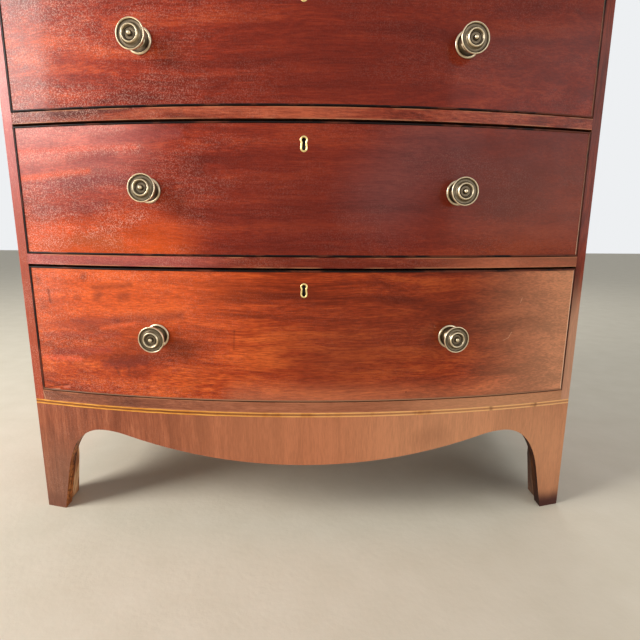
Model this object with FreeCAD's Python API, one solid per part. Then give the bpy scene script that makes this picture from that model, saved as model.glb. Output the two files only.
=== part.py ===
import FreeCAD, Part
import math
import os

from FreeCAD import Vector

# Bow front chest of four long drawers on shaped bracket feet.
#
# Millimetres, +X to the right, +Y to the back, +Z up, the floor at Z 0.
# The chest is drawn with Y 0 through the two front corners of the case. Every
# piece is then moved along Y, so that the origin is the bottom centre of the
# bounding box.

# ---- Driving dimensions ----

# Case
chest_height = 1038.4           # floor to the upper face of the top
case_width = 914.4              # over the two sides
case_depth = 450.0              # from the front corners to the back
bow_rise = 62.9                 # middle of the front ahead of its corners
side_thickness = 16.0
rail_thickness = 16.0           # the rails over the drawers
bottom_rail_height = 17.4       # the rail and the board under the bottom drawer
rail_depth = 58.0               # from the front corners to the back of a rail
housing_depth = 6.0             # how far rails and runners enter the sides
housing_setback = 14.0          # from the edge of a side back to its housing
runner_width = 42.0
back_thickness = 10.5
back_inset = 1.5                # back boards inside the back edges of the sides
back_board_count = 4
back_rebate = 8.0               # how far the back boards lap onto the sides
back_chamfer = 1.5
top_thickness = 19.0
top_overhang = 8.0
top_edge_bevel = 2.5

# Base: shaped aprons that run down into the feet
base_height = 193.5             # floor to the string inlay
string_height = 7.5             # the whole inlay
string_line = 2.2               # each of its light lines
string_depth = 1.8
apron_thickness = 20.0
apron_middle = 111.0            # floor to the apron at the middle of the front
apron_peak_radius = 150.0       # the curve over each arch of the front
block_size = 30.0               # glue blocks
block_length = 110.0
front_block_spacing = 230.0     # between the middles of those behind the front
side_block_spacing = 140.0      # between the middles of those behind a side
block_chamfer = 12.0
foot_block_reach = 18.0         # their inner side, from the apron to the cut corner
block_setback = 3.0             # foot blocks behind the shaped edges
block_lift = 3.0                # foot blocks above the floor

# Front feet seen from the front
foot_width = 35.2               # at the floor
foot_lean = 11.4                # of the inner edge, in degrees
foot_knee = 75.0                # height of the straight part of the inner edge
arch_place = 122.2              # from the outside of the foot
arch_height = 157.0
arch_ease = 0.55                # fullness of the curve from knee to arch
knee_ease = 0.60

# The feet seen from the side, and the brackets of the rear feet
side_foot_width = 48.0
side_foot_lean = 18.7
side_arch_height = 98.0
side_arch_radius = 46.0
rear_foot_width = 38.0
rear_foot_lean = 14.0
rear_arch_height = 165.0
rear_arch_radius = 70.0
rear_bracket_width = 118.0

# Drawers, from the bottom one up
drawer_names = ["bottom_drawer", "third_drawer", "second_drawer", "top_drawer"]
graduation = 18.1               # how much lower each opening is than the one below
side_gap = 1.5                  # drawer to the side of the case
top_gap = 3.5                   # drawer front to the rail above
bottom_gap = 1.0                # drawer front to the rail below
running_clearance = 0.3
front_thickness = 22.0
drawer_side_thickness = 10.0
drawer_back_thickness = 9.0
drawer_back_gap = 10.0          # back of a drawer to the back boards
side_drop = 4.0                 # top of a drawer's side below its front
back_drop = 5.0                 # top of a drawer's back below its sides
panel_thickness = 7.0           # drawer bottom
panel_rise = 11.0               # drawer bottom above the edge of the sides
panel_groove = 4.0
lap = 6.5                       # wood in front of the lapped dovetails
tail_pitch = 36.0
pin_width = 5.0                 # at the narrow face of a pin
tail_slope = 1 / 6

# Cockbead round each drawer front
bead_thickness = 2.6
bead_depth = 5.0                # how far it is let into the front
bead_proud = 1.4

# Drawer stops
stop_offset = 200.0             # from the middle of the rail
stop_width = 40.0
stop_depth = 28.0
stop_height = 6.0

# Turned knobs: radii, and heights above the drawer front
knob_offset = 228.0
knob_radius = 20.5
knob_height = 30.0
rim_width = 2.4
rim_height = 26.0
rim_low = 21.5                  # under the rim
recess_height = 23.4
ring_radius = 12.5
ring_width = 2.6
ring_height = 28.0
dish_height = 25.0
button_radius = 3.0
neck_radius = 6.6
neck_height = 12.0
plate_radius = 18.5
plate_thickness = 2.2
plate_bevel = 2.0

# Keyhole and its inset brass thread
keyhole_drop = 24.5             # top of the drawer front to the round head
keyhole_radius = 3.4            # of the head
keyhole_waist = 3.7             # slot at the middle of the head
keyhole_foot = 6.0              # across the round foot
keyhole_length = 14.4           # from the head's centre to the end of the foot
thread_width = 2.3
thread_depth = 2.5
thread_proud = 0.3

# Lock, let into the back of the drawer front
lock_width = 58.0
lock_height = 46.0
lock_plate = 1.6
lock_body_width = 46.0
lock_body_depth = 10.0
lock_margin = 4.0               # plate below the body
key_chamber = 5.0
bolt_width = 22.0
bolt_thickness = 5.0
bolt_height = 20.0
bolt_throw = 8.0
mortise_clearance = 1.0

# ---- Places worked out from them ----

case_half = case_width / 2
side_inner = case_half - side_thickness
bow_radius = (case_half ** 2 + bow_rise ** 2) / (2 * bow_rise)
bow_centre_y = bow_radius - bow_rise
base_top = base_height + string_height
back_outer = case_depth - back_inset
back_front = back_outer - back_thickness
apron_inner = case_half - apron_thickness

case_top = chest_height - top_thickness
drawer_count = len(drawer_names)
shared_height = case_top - base_top - bottom_rail_height - drawer_count * rail_thickness
bottom_opening = shared_height / drawer_count + graduation * (drawer_count - 1) / 2
opening_heights = [bottom_opening - i * graduation for i in range(drawer_count)]
opening_bottoms = [base_top + bottom_rail_height]
for height in opening_heights[:-1]:
    opening_bottoms.append(opening_bottoms[-1] + height + rail_thickness)

drawer_half = side_inner - side_gap
drawer_inner = drawer_half - drawer_side_thickness
drawer_end = back_front - drawer_back_gap
lock_back = -bow_rise + front_thickness
bolt_middle = lock_back - lock_body_depth / 2
thread_back = -bow_rise + thread_depth


# ---- Shapes that the pieces are made from ----

def at_height(edge, z):
    """Whether both ends of an edge lie at height z."""
    return all(math.isclose(v.Z, z, abs_tol=0.01) for v in edge.Vertexes)


def at_depth(edge, y):
    """Whether both ends of an edge lie at depth y."""
    return all(math.isclose(v.Y, y, abs_tol=0.01) for v in edge.Vertexes)


def moved(shape, x, y):
    """A copy of a shape, moved along the floor."""
    copy = shape.copy()
    copy.translate(Vector(x, y, 0))
    return copy


def bow_y(x, inset=0.0):
    """Y of the bowed surface that lies inset behind the front, at x."""
    return bow_centre_y - math.sqrt((bow_radius - inset) ** 2 - x ** 2)


def line(start, end):
    return Part.makeLine(start, end)


def arc(start, middle, end):
    return Part.Arc(start, middle, end).toShape()


def prism(edges, direction):
    """Solid swept along direction from the outline that the edges close."""
    return Part.Face(Part.Wire(edges)).extrude(direction)


def straight_prism(corners, direction):
    """Solid swept along direction from a straight-sided outline."""
    ends = corners[1:] + corners[:1]
    return prism([line(a, b) for a, b in zip(corners, ends)], direction)


def box(x, y, z):
    """Block between a low and a high limit along each axis."""
    return Part.makeBox(x[1] - x[0], y[1] - y[0], z[1] - z[0], Vector(x[0], y[0], z[0]))


def mirrored(shape):
    """The same piece on the other side of the chest."""
    return shape.mirror(Vector(0, 0, 0), Vector(1, 0, 0))


def pair(shape):
    """A piece on the right and its mirror image on the left."""
    return [shape, mirrored(shape)]


def bow_arc(half, inset, z):
    """Arc of the bowed surface from x = -half to x = half."""
    end_y = bow_y(half, inset)
    middle = Vector(0, bow_y(0, inset), z)
    return arc(Vector(-half, end_y, z), middle, Vector(half, end_y, z))


def bowed_block(half, inset, back, z):
    """Block with a bowed front, straight sides and a flat back."""
    low, high = z
    end_y = bow_y(half, inset)
    right, left = Vector(half, end_y, low), Vector(-half, end_y, low)
    back_right, back_left = Vector(half, back, low), Vector(-half, back, low)
    edges = [bow_arc(half, inset, low), line(right, back_right)]
    edges += [line(back_right, back_left), line(back_left, left)]
    return prism(edges, Vector(0, 0, high - low))


def bowed_board(half, inset, thickness, z):
    """Board bent to the bow, with both faces curved about the same axis."""
    low, high = z
    front_y, back_y = bow_y(half, inset), bow_y(half, inset + thickness)
    edges = [bow_arc(half, inset, low)]
    edges.append(line(Vector(half, front_y, low), Vector(half, back_y, low)))
    edges.append(bow_arc(half, inset + thickness, low))
    edges.append(line(Vector(-half, back_y, low), Vector(-half, front_y, low)))
    return prism(edges, Vector(0, 0, high - low))


# ---- Case ----

def housed(shape, front, back, z):
    """A rail, board or runner with tongues that enter both sides of the case."""
    tongue = box((side_inner, side_inner + housing_depth), (front, back), z)
    return shape.fuse(pair(tongue)).removeSplitter()


def make_rail(z):
    """Rail with a bowed front edge, housed behind the edges of the sides."""
    rail = bowed_block(side_inner, 0, rail_depth, z)
    return housed(rail, bow_y(side_inner) + housing_setback, rail_depth, z)


def bolt_mortise(rail_bottom):
    """Socket in the underside of a rail for the lock bolt below it."""
    half_width = bolt_width / 2 + mortise_clearance
    half_depth = bolt_thickness / 2 + mortise_clearance
    depth = bolt_throw - top_gap + mortise_clearance
    return box(
        (-half_width, half_width),
        (bolt_middle - half_depth, bolt_middle + half_depth),
        (rail_bottom, rail_bottom + depth),
    )


def make_runners(z):
    """Pair of strips that carry a drawer, or that keep the top one level."""
    x = (side_inner - runner_width, side_inner + housing_depth)
    return pair(box(x, (rail_depth, back_front), z))


def make_stops(z):
    """Pair of blocks that the back of a drawer front meets when it is shut."""
    middle = bow_y(stop_offset, front_thickness)
    x = (stop_offset - stop_width / 2, stop_offset + stop_width / 2)
    block = box(x, (middle - stop_depth, middle + stop_depth), (z, z + stop_height))
    behind = front_thickness + running_clearance
    return pair(block.common(bowed_block(side_inner, behind, rail_depth, (z, z + stop_height))))


def make_back_boards():
    """Horizontal boards in the rebates of the sides, chamfered where they meet."""
    half = side_inner + back_rebate
    height = (case_top - base_top) / back_board_count
    boards = []
    for i in range(back_board_count):
        low = base_top + i * height
        outline = [
            Vector(-half, back_front, low),
            Vector(-half, back_outer - back_chamfer, low),
            Vector(-half, back_outer, low + back_chamfer),
            Vector(-half, back_outer, low + height - back_chamfer),
            Vector(-half, back_outer - back_chamfer, low + height),
            Vector(-half, back_front, low + height),
        ]
        boards.append(straight_prism(outline, Vector(2 * half, 0, 0)))
    return boards


def make_top():
    """Top board with a small overhang and its upper edge eased."""
    half = case_half + top_overhang
    board = bowed_block(half, -top_overhang, case_depth, (case_top, chest_height))
    eased = [edge for edge in board.Edges
             if at_height(edge, chest_height) and not at_depth(edge, case_depth)]
    return board.makeChamfer(top_edge_bevel, eased)


def make_side(housings):
    """Right side of the case; its front edge follows the bow."""
    z = (base_top, case_top)
    whole = bowed_block(case_half, 0, case_depth, z)
    strip = box((side_inner, case_half), (-bow_rise, case_depth), z)
    rebate = box((side_inner, side_inner + back_rebate), (back_front, case_depth), z)
    return whole.common(strip).cut(housings + [rebate])


def make_case():
    parts = {}
    bottom_z = (base_top, base_top + bottom_rail_height)
    parts["bottom_rail"] = make_rail(bottom_z)
    board = box((-side_inner, side_inner), (rail_depth, back_front), bottom_z)
    parts["bottom_board"] = housed(board, rail_depth, back_front, bottom_z)

    runners, stops = [], []
    rail_names = ["lower_rail", "middle_rail", "upper_rail", "top_rail"]
    for name, low, height in zip(rail_names, opening_bottoms, opening_heights):
        rail_bottom = low + height
        z = (rail_bottom, rail_bottom + rail_thickness)
        parts[name] = make_rail(z).cut(bolt_mortise(rail_bottom))
        stops += make_stops(low)
        if name == "top_rail":
            kickers = make_runners(z)
        else:
            runners += make_runners(z)
    side = make_side(list(parts.values()) + runners + kickers)
    parts["side_right"] = side
    parts["side_left"] = mirrored(side)
    parts["drawer_runners"] = Part.makeCompound(runners)
    parts["kickers"] = Part.makeCompound(kickers)
    parts["drawer_stops"] = Part.makeCompound(stops)
    parts["back_boards"] = Part.makeCompound(make_back_boards())
    parts["top_board"] = make_top()
    return parts


# ---- Base ----

def foot_slope(lean):
    """How far a leaning edge moves sideways for each millimetre of height."""
    return math.tan(math.radians(lean))


def bracket_edges(width, lean, height, radius, place):
    """Inner edge of a bracket foot, and the arc at its top that ends level.

    It starts under the floor.  place turns a distance from the outside of the
    foot and a height into a point.
    """
    slope = foot_slope(lean)
    turn = math.radians(90 - lean)
    centre_x = width + height * slope + radius * math.tan(turn / 2)
    centre_z = height - radius

    def on_arc(angle):
        return place(centre_x - radius * math.sin(angle), centre_z + radius * math.cos(angle))

    start = place(width - width * slope, -width)
    return [line(start, on_arc(turn)), arc(on_arc(turn), on_arc(turn / 2), on_arc(0))]


def front_cutout():
    """Space under the front apron, swept from front to back.

    A foot's inner edge is straight up to its knee and curves over to the arch.
    From the arch the edge runs in two arcs, one up and one down, to the middle
    of the apron.
    """
    reach = bow_rise + apron_thickness
    slope = foot_slope(foot_lean)
    knee = foot_width + foot_knee * slope
    knee_rise = knee_ease * (arch_height - foot_knee)
    arch_run = arch_ease * (arch_place - knee)
    arch_x = case_half - arch_place
    drop = arch_height - apron_middle
    both_radii = (arch_x ** 2 + drop ** 2) / (2 * drop)
    middle_radius = both_radii - apron_peak_radius
    turn = math.asin(arch_x / both_radii)

    def half_edges(side):
        def place(across, height):
            return Vector(side * (case_half - across), -reach, height)

        def on_peak(angle):
            across = arch_place + apron_peak_radius * math.sin(angle)
            return place(across, arch_height - apron_peak_radius * (1 - math.cos(angle)))

        def on_middle(angle):
            across = case_half - middle_radius * math.sin(angle)
            return place(across, apron_middle + middle_radius * (1 - math.cos(angle)))

        start = place(foot_width - foot_width * slope, -foot_width)
        curve = Part.BezierCurve()
        curve.setPoles([
            place(knee, foot_knee),
            place(knee + knee_rise * slope, foot_knee + knee_rise),
            place(arch_place - arch_run, arch_height),
            place(arch_place, arch_height),
        ])
        return [
            line(start, place(knee, foot_knee)),
            curve.toShape(),
            arc(on_peak(0), on_peak(turn / 2), on_peak(turn)),
            arc(on_middle(turn), on_middle(turn / 2), on_middle(0)),
        ]

    right, left = half_edges(1), half_edges(-1)
    floor = line(left[0].Vertexes[0].Point, right[0].Vertexes[0].Point)
    return prism(right + left[::-1] + [floor], Vector(0, reach + case_depth, 0))


def side_cutout():
    """Space under the side aprons, swept across the chest from side to side."""
    shape = (side_foot_width, side_foot_lean, side_arch_height, side_arch_radius)

    def from_front(along, height):
        return Vector(-case_width, along, height)

    def from_back(along, height):
        return Vector(-case_width, case_depth - along, height)

    front, back = bracket_edges(*shape, from_front), bracket_edges(*shape, from_back)
    arch = line(front[-1].Vertexes[-1].Point, back[-1].Vertexes[-1].Point)
    floor = line(back[0].Vertexes[0].Point, front[0].Vertexes[0].Point)
    return prism(front + [arch] + back[::-1] + [floor], Vector(2 * case_width, 0, 0))


def rear_cutout():
    """Space beyond the right rear bracket, from its shaped edge inwards."""
    def place(across, height):
        return Vector(case_half - across, case_depth / 2, height)

    edges = bracket_edges(rear_foot_width, rear_foot_lean, rear_arch_height,
                          rear_arch_radius, place)
    start, end = edges[0].Vertexes[0].Point, edges[-1].Vertexes[-1].Point
    corners = [end, Vector(0, end.y, end.z), Vector(0, end.y, start.z), start]
    edges += [line(a, b) for a, b in zip(corners, corners[1:])]
    return prism(edges, Vector(0, case_depth, 0))


def front_of_mitres():
    """Region in front of the mitres between the front and the side aprons."""
    far = -2 * bow_rise
    outline = [
        Vector(-case_half, 0, 0),
        Vector(-case_half, far, 0),
        Vector(case_half, far, 0),
        Vector(case_half, 0, 0),
        Vector(0, case_half, 0),
    ]
    return straight_prism(outline, Vector(0, 0, base_top))


def make_strings():
    """String inlay: a dark line between two light ones."""
    levels = [base_height, base_height + string_line, base_top - string_line, base_top]
    lines = [bowed_board(case_half, 0, string_depth, z) for z in zip(levels, levels[1:])]
    return [lines[0], lines[2]], lines[1]


def make_foot_blocks(front_space, side_space, rear_space):
    """Upright blocks in the corners of the feet, with their free corner cut off.

    They are set back from the shaped edges.
    """
    inner, z = apron_inner - block_size, (block_lift, base_top)

    def block(start, reach_end, side_end):
        plan = [(apron_inner, start), (inner, start), (inner, reach_end), (apron_inner, side_end)]
        outline = [Vector(x, y, block_lift) for x, y in plan]
        return straight_prism(outline, Vector(0, 0, base_top - block_lift))

    front_end = bow_y(inner, apron_thickness) + foot_block_reach
    front = block(-bow_rise, front_end, front_end + block_size)
    front = front.common(bowed_block(case_half, apron_thickness, case_depth, z))
    front = front.cut([moved(front_space, block_setback, 0), moved(side_space, 0, -block_setback)])
    rear_inner = case_depth - apron_thickness
    rear_end = rear_inner - foot_block_reach
    rear = block(rear_inner, rear_end, rear_end - block_size)
    rear = rear.cut([moved(rear_space, block_setback, 0), moved(side_space, 0, block_setback)])
    return pair(front) + pair(rear)


def make_front_block(middle):
    """Block under the bottom board behind the front apron, fitted to its curve."""
    start, under = middle - block_length / 2, base_top - block_size
    inner_y = bow_y(middle, apron_thickness)
    outline = [
        Vector(start, inner_y - block_size, base_top),
        Vector(start, inner_y + block_size, base_top),
        Vector(start, inner_y + block_size, base_top - block_chamfer),
        Vector(start, inner_y + block_chamfer, under),
        Vector(start, inner_y - block_size, under),
    ]
    block = straight_prism(outline, Vector(block_length, 0, 0))
    return block.common(bowed_block(case_half, apron_thickness, case_depth, (0, base_top)))


def make_side_blocks(middle):
    """Blocks under the bottom board behind the two side aprons."""
    start, under = middle - block_length / 2, base_top - block_size
    outline = [
        Vector(apron_inner, start, base_top),
        Vector(apron_inner - block_size, start, base_top),
        Vector(apron_inner - block_size, start, base_top - block_chamfer),
        Vector(apron_inner - block_chamfer, start, under),
        Vector(apron_inner, start, under),
    ]
    return pair(straight_prism(outline, Vector(0, block_length, 0)))


def make_base():
    front_space, side_space, rear_space = front_cutout(), side_cutout(), rear_cutout()
    light, dark = make_strings()
    mitres = front_of_mitres()
    strings = light + [dark]

    apron = bowed_board(case_half, 0, apron_thickness, (0, base_top))
    apron = apron.common(mitres).cut([front_space] + strings)
    side = box((apron_inner, case_half), (0, case_depth), (0, base_top))
    side = side.cut([mitres, side_space] + strings)

    inner_end = case_half - rear_bracket_width
    rear_y = (case_depth - apron_thickness, case_depth)
    bracket = box((inner_end, apron_inner), rear_y, (0, base_top)).cut(rear_space)

    blocks = make_foot_blocks(front_space, side_space, rear_space)
    for step in (-1, 0, 1):
        blocks.append(make_front_block(step * front_block_spacing))
    for step in (-1, 1):
        blocks += make_side_blocks((case_depth + step * side_block_spacing) / 2)

    return {
        "front_apron": apron,
        "side_apron_right": side,
        "side_apron_left": mirrored(side),
        "rear_brackets": Part.makeCompound(pair(bracket)),
        "glue_blocks": Part.makeCompound(blocks),
        "light_strings": Part.makeCompound(light),
        "dark_string": dark,
    }


# ---- Drawers ----

drawer_shoulder = bow_y(drawer_inner, front_thickness)


def make_tails(shoulder, tip, z):
    """Row of dovetails on the right side of a drawer, wider at the tip."""
    low, high = z
    count = max(2, round((high - low) / tail_pitch))
    pitch = (high - low) / count
    wide = (pitch - pin_width) / 2
    narrow = wide - abs(tip - shoulder) * tail_slope
    tails = []
    for i in range(count):
        middle = low + (i + 0.5) * pitch
        outline = [
            Vector(drawer_inner, shoulder, middle - narrow),
            Vector(drawer_inner, tip, middle - wide),
            Vector(drawer_inner, tip, middle + wide),
            Vector(drawer_inner, shoulder, middle + narrow),
        ]
        tails.append(straight_prism(outline, Vector(drawer_side_thickness, 0, 0)))
    return tails


def make_cockbead(z):
    """Four strips round a drawer front, mitred at its corners."""
    low, high = z
    inner = drawer_half - bead_thickness
    ring = bowed_board(drawer_half, -bead_proud, bead_proud + bead_depth, z)
    front, reach = -2 * bow_rise, Vector(0, 3 * bow_rise, 0)

    def mitred(corners):
        outline = [Vector(x, front, height) for x, height in corners]
        return ring.common(straight_prism(outline, reach))

    over = [(-drawer_half, high), (drawer_half, high),
            (inner, high - bead_thickness), (-inner, high - bead_thickness)]
    under = [(-drawer_half, low), (drawer_half, low),
             (inner, low + bead_thickness), (-inner, low + bead_thickness)]
    end = [(drawer_half, low), (drawer_half, high),
           (inner, high - bead_thickness), (inner, low + bead_thickness)]
    return [mitred(over), mitred(under)] + pair(mitred(end))


def turned(outline):
    """Solid turned about Z from points of radius and height."""
    points = [Vector(radius, 0, height) for radius, height in outline]
    edges = [line(a, b) for a, b in zip(points, points[1:] + points[:1])]
    return Part.Face(Part.Wire(edges)).revolve(Vector(0, 0, 0), Vector(0, 0, 1), 360)


def knob_outline():
    """Neck that flares to a disc with a rim, a ring, a dish and a button."""
    return [
        (0, plate_thickness),
        (neck_radius, plate_thickness),
        (neck_radius, neck_height),
        (knob_radius, rim_low),
        (knob_radius, rim_height),
        (knob_radius - rim_width, rim_height),
        (ring_radius, recess_height),
        (ring_radius, ring_height),
        (ring_radius - ring_width, ring_height),
        (button_radius, dish_height),
        (button_radius, knob_height),
        (0, knob_height),
    ]


def plate_outline():
    """Round backplate with a bevelled edge."""
    return [
        (0, 0),
        (plate_radius, 0),
        (plate_radius - plate_bevel, plate_thickness),
        (0, plate_thickness),
    ]


def on_front(shape, z):
    """Stand a piece that is turned about Z on the drawer front, at the right knob."""
    outwards = Vector(knob_offset, bow_y(knob_offset) - bow_centre_y, 0)
    placed = shape.copy()
    place = Vector(knob_offset, bow_y(knob_offset), z)
    placed.Placement = FreeCAD.Placement(place, FreeCAD.Rotation(Vector(0, 0, 1), outwards))
    return placed


def make_knobs(z):
    """Two knobs and their backplates."""
    knob, plate = turned(knob_outline()), turned(plate_outline())
    return pair(on_front(knob, z)) + pair(on_front(plate, z))


def keyhole(margin, y, z):
    """Block of the keyhole's outline: a round head above a slot with a round foot.

    The sides of the slot are tangent to the foot and meet the head at an angle.
    """
    head = keyhole_radius + margin
    waist = keyhole_waist / 2 + margin
    foot = keyhole_foot / 2 + margin
    rise = keyhole_length - keyhole_foot / 2
    lean = math.asin(foot / math.hypot(rise, waist)) - math.atan2(waist, rise)
    cos, sin = math.cos(lean), math.sin(lean)
    offset = waist * cos
    run = math.sqrt(head ** 2 - offset ** 2)

    def point(across, height):
        return Vector(across, y[0], z + height)

    def neck(side):
        return point(side * (offset * cos + run * sin), offset * sin - run * cos)

    def heel(side):
        return point(side * foot * cos, foot * sin - rise)

    edges = [
        arc(neck(1), point(0, head), neck(-1)),
        line(neck(-1), heel(-1)),
        arc(heel(-1), point(0, -rise - foot), heel(1)),
        line(heel(1), neck(1)),
    ]
    return prism(edges, Vector(0, y[1] - y[0], 0))


def key_way(top, back):
    """Slot behind the keyhole for the bit of the key."""
    head_z = top - keyhole_drop
    return box((-keyhole_radius, keyhole_radius), (thread_back, back),
               (head_z - keyhole_length, head_z + keyhole_radius))


def lock_outside(top, back=lock_back):
    """Back plate, selvage and body of the lock as one block."""
    half, body_half = lock_width / 2, lock_body_width / 2
    front = lock_back - lock_body_depth
    plate = box((-half, half), (lock_back - lock_plate, back), (top - lock_height, top))
    selvage = box((-half, half), (front, back), (top - lock_plate, top))
    body = box((-body_half, body_half), (front, back), (top - lock_height + lock_margin, top))
    return plate.fuse([selvage, body]).removeSplitter()


def make_lock(top):
    """Lock with a channel for its bolt and a slot for its key."""
    half_width = bolt_width / 2 + running_clearance
    half_depth = bolt_thickness / 2 + running_clearance
    channel = box((-half_width, half_width),
                  (bolt_middle - half_depth, bolt_middle + half_depth),
                  (top - bolt_height - running_clearance, top))
    front = lock_back - lock_body_depth
    return lock_outside(top).cut([channel, key_way(top, front + key_chamber)])


def make_bolt(top):
    return box((-bolt_width / 2, bolt_width / 2),
               (bolt_middle - bolt_thickness / 2, bolt_middle + bolt_thickness / 2),
               (top - bolt_height, top))


def make_thread(top):
    """Brass thread let in round the keyhole."""
    y, z = (-bow_rise - thread_proud, thread_back), top - keyhole_drop
    return keyhole(thread_width, y, z).cut(keyhole(0, y, z))


def make_panel(z):
    """Drawer bottom, in grooves in the front and the sides."""
    panel = bowed_block(drawer_inner, front_thickness - panel_groove, drawer_end, z)
    half = drawer_inner + panel_groove
    return panel.fuse(box((-half, half), (drawer_shoulder, drawer_end), z)).removeSplitter()


def make_drawer_back(z):
    """Back with sockets for the dovetails of the sides."""
    inner_face = drawer_end - drawer_back_thickness
    back = box((-drawer_half, drawer_half), (inner_face, drawer_end), z)
    sockets = []
    for tail in make_tails(inner_face, drawer_end, z):
        sockets += pair(tail)
    return back.cut(sockets)


def make_drawer_side(z, front_tails, neighbours):
    """Right side, with lapped dovetails into the front."""
    side = box((drawer_inner, drawer_half), (drawer_shoulder, drawer_end), z)
    return side.fuse(front_tails).cut(neighbours).removeSplitter()


def make_drawer_front(z, front_tails, neighbours):
    """Bowed front with a keyhole, and with room for the sides and the lock."""
    top = z[1]
    thread_y = (-bow_rise - thread_proud, thread_back)
    cuts = neighbours + [
        keyhole(thread_width, thread_y, top - keyhole_drop),
        key_way(top, lock_back),
        lock_outside(top, drawer_shoulder),
    ]
    behind_side = box((drawer_inner, drawer_half), (drawer_shoulder, case_depth), z)
    for piece in front_tails + [behind_side]:
        cuts += pair(piece)
    return bowed_board(drawer_half, 0, front_thickness, z).cut(cuts)


def make_drawer(name, opening_bottom, opening_height):
    front_z = (opening_bottom + bottom_gap, opening_bottom + opening_height - top_gap)
    side_z = (opening_bottom + running_clearance, front_z[1] - side_drop)
    panel_z = (side_z[0] + panel_rise, side_z[0] + panel_rise + panel_thickness)
    back_z = (panel_z[1], side_z[1] - back_drop)

    beads = make_cockbead(front_z)
    panel = make_panel(panel_z)
    back = make_drawer_back(back_z)
    tails = make_tails(drawer_shoulder, bow_y(drawer_half) + lap,
                       (front_z[0] + bead_thickness, side_z[1]))
    side = make_drawer_side(side_z, tails, [back, panel])
    return {
        name + "_front": make_drawer_front(front_z, tails, beads + [panel]),
        name + "_side_right": side,
        name + "_side_left": mirrored(side),
        name + "_back": back,
        name + "_bottom": panel,
        name + "_cockbead": Part.makeCompound(beads),
        name + "_knobs": Part.makeCompound(make_knobs(sum(front_z) / 2)),
        name + "_escutcheon": make_thread(front_z[1]),
        name + "_lock": make_lock(front_z[1]),
        name + "_lock_bolt": make_bolt(front_z[1]),
    }


# ---- The chest ----

parts = make_case()
parts.update(make_base())
for name, opening_bottom, opening_height in zip(drawer_names, opening_bottoms, opening_heights):
    parts.update(make_drawer(name, opening_bottom, opening_height))

foremost = min(p.optimalBoundingBox(False, False).YMin for p in parts.values())
origin_shift = -(foremost + case_depth) / 2

os.makedirs("parts", exist_ok=True)
for name, shape in parts.items():
    moved(shape, 0, origin_shift).exportStep("parts/" + name + ".step")
print("pieces", len(parts), "origin shift", round(origin_shift, 4))
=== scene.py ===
import math

import bmesh
import bpy
from mathutils import Matrix, Vector


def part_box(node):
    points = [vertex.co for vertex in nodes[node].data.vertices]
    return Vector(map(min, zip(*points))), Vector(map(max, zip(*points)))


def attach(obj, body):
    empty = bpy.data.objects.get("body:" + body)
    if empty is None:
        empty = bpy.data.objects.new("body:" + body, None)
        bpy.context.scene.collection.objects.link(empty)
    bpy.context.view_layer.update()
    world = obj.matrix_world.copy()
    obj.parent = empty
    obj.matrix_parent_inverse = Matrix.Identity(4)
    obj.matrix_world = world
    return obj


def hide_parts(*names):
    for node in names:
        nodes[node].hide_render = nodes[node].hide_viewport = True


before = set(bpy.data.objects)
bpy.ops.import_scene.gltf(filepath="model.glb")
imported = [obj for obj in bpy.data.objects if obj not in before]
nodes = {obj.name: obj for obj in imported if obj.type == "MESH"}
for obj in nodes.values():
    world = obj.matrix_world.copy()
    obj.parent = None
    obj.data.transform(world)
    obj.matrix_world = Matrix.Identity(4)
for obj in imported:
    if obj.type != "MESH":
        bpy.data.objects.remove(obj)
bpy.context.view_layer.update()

# Looks of the bow front chest of drawers: a material for every node of the
# frame, and finer brasses, cockbeads, nails and screws. Sizes are in metres.

DRAWERS = ["bottom_drawer", "third_drawer", "second_drawer", "top_drawer"]
MM = 0.001

# ---- Driving sizes, as in the part's source ----

BOW_RISE = 62.9 * MM            # middle of the front ahead of its corners
FRONT_THICKNESS = 22.0 * MM     # drawer fronts
BEAD_THICKNESS = 2.6 * MM
BEAD_DEPTH = 5.0 * MM
BEAD_PROUD = 1.4 * MM
KNOB_X = 228.0 * MM
KEYHOLE_RADIUS = 3.4 * MM
KEYHOLE_WAIST = 3.7 * MM
KEYHOLE_FOOT = 6.0 * MM
KEYHOLE_LENGTH = 14.4 * MM
THREAD_WIDTH = 2.3 * MM
THREAD_DEPTH = 2.5 * MM
LOCK_WIDTH = 58.0 * MM
LOCK_HEIGHT = 46.0 * MM
BACK_BOARDS = 4

# ---- Sizes of the finer pieces ----

THREAD_PROUD = 0.45 * MM        # top of the keyhole thread above the wood
THREAD_SUNK = 0.1 * MM          # its edges below the wood
HEAD_STEPS, SIDE_STEPS, FOOT_STEPS = 30, 10, 24     # points round a keyhole
SMOOTHINGS = 5                  # rounds of smoothing of its outline
NUT_HALF = 5.5 * MM             # half the width of a knob's nut
NUT_LOW, NUT_HIGH = 1.0 * MM, 5.0 * MM
NUT_EASED = 0.8 * MM
SCREW_INSET = 3.0 * MM          # lock screws, from the plate's sides,
SCREW_DROP = 10.0 * MM          # from its top
SCREW_RISE = 9.0 * MM           # and from its foot
NAIL_INSET = 4.0 * MM           # nails, from the ends of the back boards
NAIL_SHARES = (0.22, 0.78)      # their places in a board's height
SHARP_ANGLE = 40                # degrees from which an edge looks sharp
TRIM_SHARP_ANGLE = 60
BACKWARDS = Vector((0, 1, 0))

# ---- Places and numbers of the materials ----

EDGE_WEAR = 2.4 * MM            # reach of rubbed edges
JOINT_SHADE = 5.0 * MM          # dark line between back boards
BOARD_SHIFT = (1.9, 0, 0.7)     # from one back board to the next, in the pattern
LEFT_CORNER_X = (-0.36, -0.32)  # lit glue blocks end between these
FRONT_CORNER_Y = (-0.12, -0.08)
DARKEN_LOW, DARKEN_HIGH = 14.0 * MM, 43.0 * MM        # darkening of the feet fades out between these heights
STRING_LOSSES = (0.3095, 0.391)     # x of short losses in the inlay

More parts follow.
